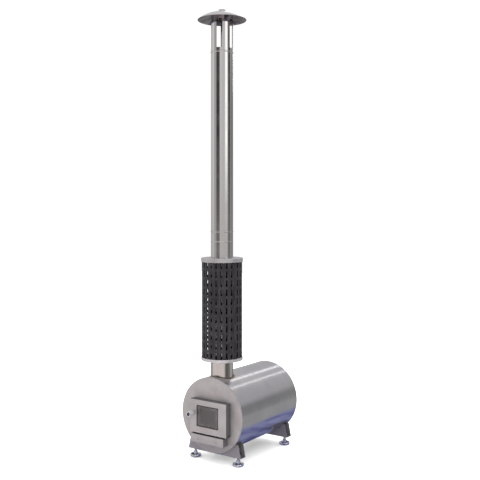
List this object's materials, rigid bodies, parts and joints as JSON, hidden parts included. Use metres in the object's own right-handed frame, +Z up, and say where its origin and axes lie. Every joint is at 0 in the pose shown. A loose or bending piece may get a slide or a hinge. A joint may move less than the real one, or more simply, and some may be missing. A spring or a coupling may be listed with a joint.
{
  "type": "wood-fired outdoor heater",
  "caption": "Wood-fired outdoor water heater: steel drum with glazed fire door and ash drawer on levelling feet, tall flue with slotted heat guard, windowed cowl and rain cap.",
  "frame": {"origin": "centre of the footprint at floor level", "axes": "+Z up along the flue; the fire door faces -Y; +X is to the right of someone facing the door from outside, looking along +Y"},
  "size_m": [0.394, 0.6808, 2.398],
  "materials": {
    "shell_steel": "brushed stainless, grain around the drum",
    "face_steel": "fine brushed stainless, warm grey",
    "polished_steel": "polished stainless",
    "guard_paint": "satin black heat-resistant paint",
    "inner_steel": "dull, heat darkened",
    "grate_iron": "raw casting",
    "fire_glass": "clear ceramic glass, dark firebox behind",
    "rope_seal": "knitted glass-fibre rope",
    "foot_chrome": "bright plated",
    "fastener_steel": "plain stainless",
    "plug_brass": "plain"
  },
  "bodies": {
    "heater": {"outer_shell": "shell_steel", "front_plate": "face_steel", "rear_plate": "face_steel", "firebox_tube": "inner_steel", "firebox_back": "inner_steel", "grate": "grate_iron", "ash_runner_left": "inner_steel", "ash_runner_right": "inner_steel", "door_neck": "inner_steel", "hinge_lug_low": "inner_steel", "hinge_lug_high": "inner_steel", "hinge_pin_low": "fastener_steel", "hinge_pin_high": "fastener_steel", "front_saddle": "shell_steel", "rear_saddle": "shell_steel", "foot_nut_front_left": "fastener_steel", "foot_nut_front_right": "fastener_steel", "foot_nut_rear_left": "fastener_steel", "foot_nut_rear_right": "fastener_steel", "flue_stub": "polished_steel", "lower_pipe": "polished_steel", "upper_pipe": "polished_steel", "cowl_tube": "polished_steel", "rain_cap": "polished_steel", "cap_knob": "polished_steel", "guard_shell": "guard_paint", "guard_top_cap": "shell_steel", "guard_bottom_cap": "shell_steel", "water_outlet_socket": "fastener_steel", "water_inlet_socket": "fastener_steel", "drain_socket": "fastener_steel", "drain_plug": "plug_brass"},
    "door": {"door_panel": "face_steel", "door_glass": "fire_glass", "glass_retainer": "inner_steel", "retainer_screw_low_left": "fastener_steel", "retainer_screw_high_left": "fastener_steel", "retainer_screw_low_right": "fastener_steel", "retainer_screw_high_right": "fastener_steel", "door_gasket": "rope_seal", "handle_rosette": "fastener_steel"},
    "handle": {"handle_spindle": "fastener_steel", "handle_grip": "polished_steel", "latch_tongue": "inner_steel", "spindle_nut": "fastener_steel"},
    "ash_drawer": {"ash_tray": "inner_steel", "drawer_front": "face_steel", "drawer_screw_left": "fastener_steel", "drawer_screw_right": "fastener_steel"},
    "foot_front_left": {"foot_pad_front_left": "foot_chrome", "foot_stud_front_left": "foot_chrome"},
    "foot_front_right": {"foot_pad_front_right": "foot_chrome", "foot_stud_front_right": "foot_chrome"},
    "foot_rear_left": {"foot_pad_rear_left": "foot_chrome", "foot_stud_rear_left": "foot_chrome"},
    "foot_rear_right": {"foot_pad_rear_right": "foot_chrome", "foot_stud_rear_right": "foot_chrome"}
  },
  "joints": [
    {"name": "door_hinge", "type": "hinge", "parent": "heater", "child": "door", "pos_m": [0.119, -0.26815, 0.24625], "axis": [0, 0, 1], "range_deg": [0, 120]},
    {"name": "handle_turn", "type": "hinge", "parent": "door", "child": "handle", "pos_m": [-0.085, -0.28765, 0.262], "axis": [0, 1, 0], "range_deg": [0, 90]},
    {"name": "ash_drawer_slide", "type": "slide", "parent": "heater", "child": "ash_drawer", "axis": [0, -1, 0], "range_m": [0, 0.3]},
    {"name": "foot_front_left_adjust", "type": "slide", "parent": "heater", "child": "foot_front_left", "axis": [0, 0, -1], "range_m": [0, 0.02]},
    {"name": "foot_front_right_adjust", "type": "slide", "parent": "heater", "child": "foot_front_right", "axis": [0, 0, -1], "range_m": [0, 0.02]},
    {"name": "foot_rear_left_adjust", "type": "slide", "parent": "heater", "child": "foot_rear_left", "axis": [0, 0, -1], "range_m": [0, 0.02]},
    {"name": "foot_rear_right_adjust", "type": "slide", "parent": "heater", "child": "foot_rear_right", "axis": [0, 0, -1], "range_m": [0, 0.02]}
  ]
}
